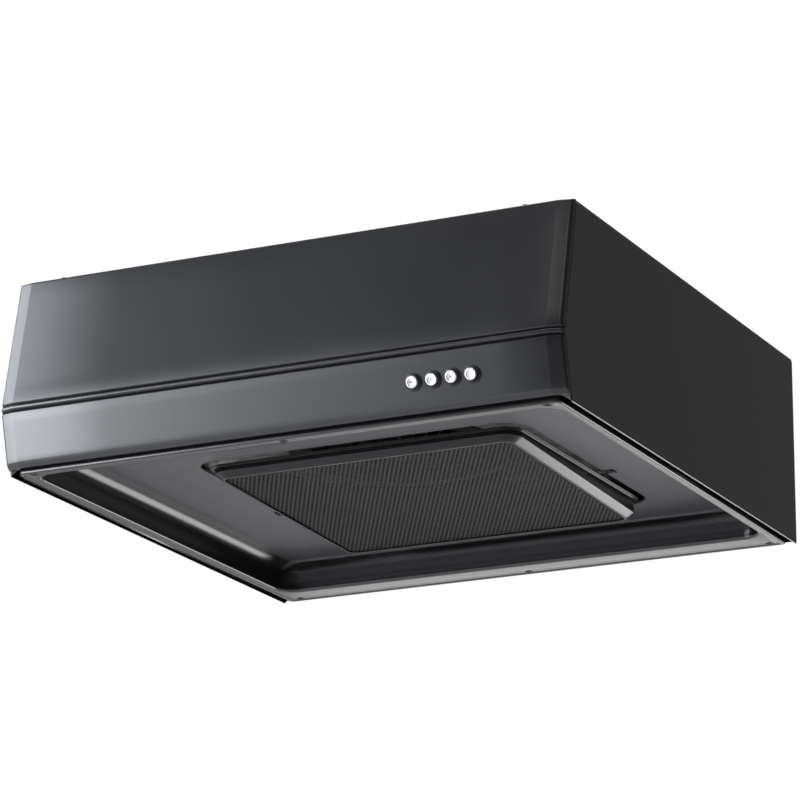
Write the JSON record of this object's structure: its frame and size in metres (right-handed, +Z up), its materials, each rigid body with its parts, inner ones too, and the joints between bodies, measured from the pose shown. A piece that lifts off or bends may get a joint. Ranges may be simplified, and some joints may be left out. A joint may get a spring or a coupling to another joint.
{
  "type": "range hood",
  "caption": "Black shallow kitchen range hood with a bent front cover, push buttons, a drawn pan, a perforated grease filter, a centrifugal fan and a top duct collar.",
  "frame": {"origin": "middle of the underside: halfway across the width and the depth, at the level of the pan's rim", "axes": "+X to the right seen from the front, -Y towards the cook, +Y towards the wall, +Z up"},
  "size_m": [0.6, 0.6, 0.246],
  "materials": {
    "cover_paint": "gloss",
    "body_paint": "gloss",
    "pan_paint": "semi-gloss",
    "filter_paint": "semi-gloss",
    "zinc": "galvanised, satin",
    "button_silver": "silver, satin",
    "black_plastic": "satin",
    "grey_plastic": "matte",
    "white_plastic": "matte",
    "board": "satin",
    "bulb_glass": "frosted",
    "steel": "satin",
    "foam": "matte",
    "rubber": "matte"
  },
  "bodies": {
    "casing": {"front_cover": "cover_paint", "side_panel_left": "body_paint", "side_panel_right": "body_paint", "back_panel": "body_paint", "top_panel": "body_paint", "bottom_pan": "pan_paint", "front_rail_upper": "zinc", "front_rail_lower": "zinc", "scroll_casing": "zinc", "scroll_inlet_plate": "zinc", "bell_mouth": "black_plastic", "motor_plate": "zinc", "motor_body": "steel", "motor_capacitor": "black_plastic", "exhaust_box": "zinc", "collar_gasket": "foam", "duct_collar": "zinc", "damper_pin": "steel", "circuit_board": "board", "switch_box": "grey_plastic", "lamp_bracket": "zinc", "lamp_socket": "white_plastic", "lamp_bulb": "bulb_glass", "terminal_block": "white_plastic", "cord_grommet": "rubber", "power_cord": "rubber", "power_plug": "black_plastic", "pan_screw_front_left": "steel", "pan_screw_front_middle": "steel", "pan_screw_front_right": "steel", "pan_screw_rear_left": "steel", "pan_screw_rear_middle": "steel", "pan_screw_rear_right": "steel", "cover_screw_left": "steel", "cover_screw_right": "steel", "bezel_off": "black_plastic", "tact_switch_off": "grey_plastic", "bezel_low": "black_plastic", "tact_switch_low": "grey_plastic", "bezel_high": "black_plastic", "tact_switch_high": "grey_plastic", "bezel_light": "black_plastic", "tact_switch_light": "grey_plastic"},
    "fan_rotor": {"fan_wheel": "zinc", "fan_nut": "black_plastic", "motor_shaft": "steel"},
    "filter": {"filter_frame": "filter_paint", "filter_mesh": "filter_paint", "filter_hook_left": "filter_paint"},
    "filter_catch": {"filter_latch": "filter_paint"},
    "damper_front": {"damper_flap_front": "zinc"},
    "damper_rear": {"damper_flap_rear": "zinc"},
    "off_button": {"button_off": "button_silver"},
    "low_button": {"button_low": "button_silver"},
    "high_button": {"button_high": "button_silver"},
    "light_button": {"button_light": "button_silver"}
  },
  "joints": [
    {"name": "fan_spin", "type": "hinge", "parent": "casing", "child": "fan_rotor", "pos_m": [-0.02, 0.02, 0.12], "axis": [0, 0, 1], "continuous": true},
    {"name": "filter_swing", "type": "hinge", "parent": "casing", "child": "filter", "pos_m": [-0.19, 0.075, 0.0357], "axis": [0, 1, 0], "range_deg": [0, 55]},
    {"name": "filter_catch_slide", "type": "slide", "parent": "filter", "child": "filter_catch", "axis": [-1, 0, 0], "range_m": [0, 0.003]},
    {"name": "damper_front_hinge", "type": "hinge", "parent": "casing", "child": "damper_front", "pos_m": [0.112, 0.208, 0.222], "axis": [-1, 0, 0], "range_deg": [0, 80]},
    {"name": "damper_rear_hinge", "type": "hinge", "parent": "casing", "child": "damper_rear", "pos_m": [0.112, 0.208, 0.222], "axis": [1, 0, 0], "range_deg": [0, 80]},
    {"name": "press_off", "type": "slide", "parent": "casing", "child": "off_button", "axis": [0, 0.9701, 0.2425], "range_m": [0, 0.003], "stiffness_N_per_m": 300},
    {"name": "press_low", "type": "slide", "parent": "casing", "child": "low_button", "axis": [0, 0.9701, 0.2425], "range_m": [0, 0.003], "stiffness_N_per_m": 300},
    {"name": "press_high", "type": "slide", "parent": "casing", "child": "high_button", "axis": [0, 0.9701, 0.2425], "range_m": [0, 0.003], "stiffness_N_per_m": 300},
    {"name": "press_light", "type": "slide", "parent": "casing", "child": "light_button", "axis": [0, 0.9701, 0.2425], "range_m": [0, 0.003], "stiffness_N_per_m": 300}
  ],
  "couplings": [
    {"joint": "damper_rear_hinge", "follows": "damper_front_hinge", "ratio": 1}
  ]
}
